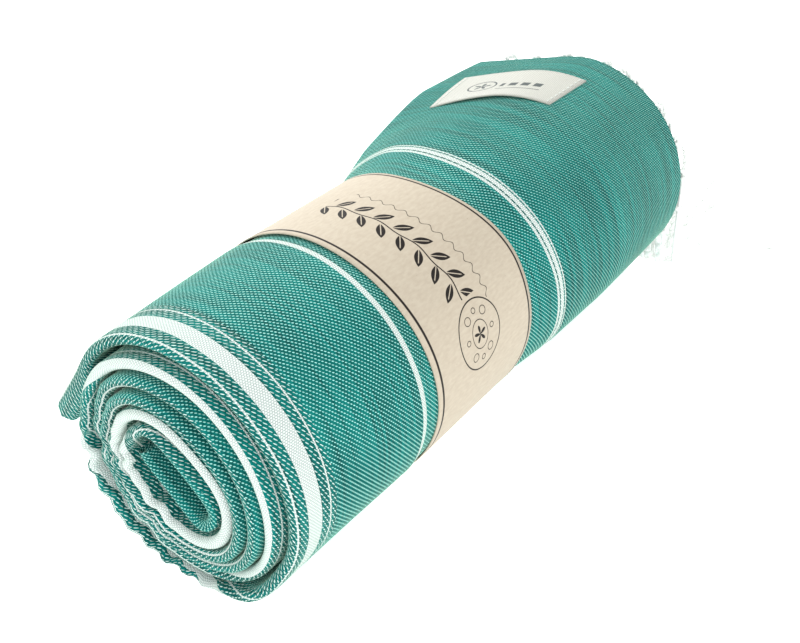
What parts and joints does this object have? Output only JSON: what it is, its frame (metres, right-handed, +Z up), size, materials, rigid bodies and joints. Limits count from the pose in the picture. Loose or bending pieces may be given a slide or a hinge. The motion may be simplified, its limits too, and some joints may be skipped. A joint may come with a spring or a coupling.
{
  "type": "rolled towel",
  "caption": "Flat-woven striped cotton towel, folded and rolled, held by a paper belly band that slides off, with a sewn label and a knotted fringe.",
  "frame": {"origin": "on the floor under the middle of the roll and its loose flaps, halfway along the roll", "axes": "+X along the roll towards the fringed far end, +Y towards the loose end of the cloth, +Z up"},
  "size_m": [0.3088, 0.1293, 0.0854],
  "materials": {
    "towel_cotton": "flat-woven cotton, green weft on white warp with white cross stripes",
    "kraft_paper": "uncoated kraft paper with thin printed border lines",
    "paper_glue": "dried paper glue",
    "label_tape": "smooth white woven tape",
    "sewing_thread": "white sewing thread",
    "fringe_yarn": "twisted undyed cotton warp ends"
  },
  "bodies": {
    "roll": {"rolled_towel": "towel_cotton", "towel_shoulder": "towel_cotton", "towel_label": "label_tape", "label_stitches": "sewing_thread", "tassel_01": "fringe_yarn", "tassel_02": "fringe_yarn", "tassel_03": "fringe_yarn", "tassel_04": "fringe_yarn", "tassel_05": "fringe_yarn", "tassel_06": "fringe_yarn", "tassel_07": "fringe_yarn", "tassel_08": "fringe_yarn", "tassel_09": "fringe_yarn", "tassel_10": "fringe_yarn", "tassel_11": "fringe_yarn", "tassel_12": "fringe_yarn", "tassel_13": "fringe_yarn", "tassel_14": "fringe_yarn", "knot_01": "fringe_yarn", "knot_02": "fringe_yarn", "knot_03": "fringe_yarn", "knot_04": "fringe_yarn", "knot_05": "fringe_yarn", "knot_06": "fringe_yarn", "knot_07": "fringe_yarn", "knot_08": "fringe_yarn", "knot_09": "fringe_yarn", "knot_10": "fringe_yarn", "knot_11": "fringe_yarn", "knot_12": "fringe_yarn", "knot_13": "fringe_yarn", "knot_14": "fringe_yarn"},
    "band": {"paper_band": "kraft_paper", "band_lap": "kraft_paper", "band_glue": "paper_glue"},
    "near_corner": {"near_flap": "towel_cotton"},
    "far_corner": {"far_flap": "towel_cotton"}
  },
  "joints": [
    {"name": "band_slide", "type": "slide", "parent": "roll", "child": "band", "axis": [-1, 0, 0], "range_m": [0, 0.14], "deforming": ["near_flap"]},
    {"name": "near_flap_lift", "type": "hinge", "parent": "roll", "child": "near_corner", "pos_m": [-0.0855, 0.03151, 0.06521], "axis": [1, 0, 0], "range_deg": [0, 60]},
    {"name": "far_flap_lift", "type": "hinge", "parent": "roll", "child": "far_corner", "pos_m": [0.07625, 0.03884, 0.07495], "axis": [1, 0, 0], "range_deg": [0, 60]}
  ]
}
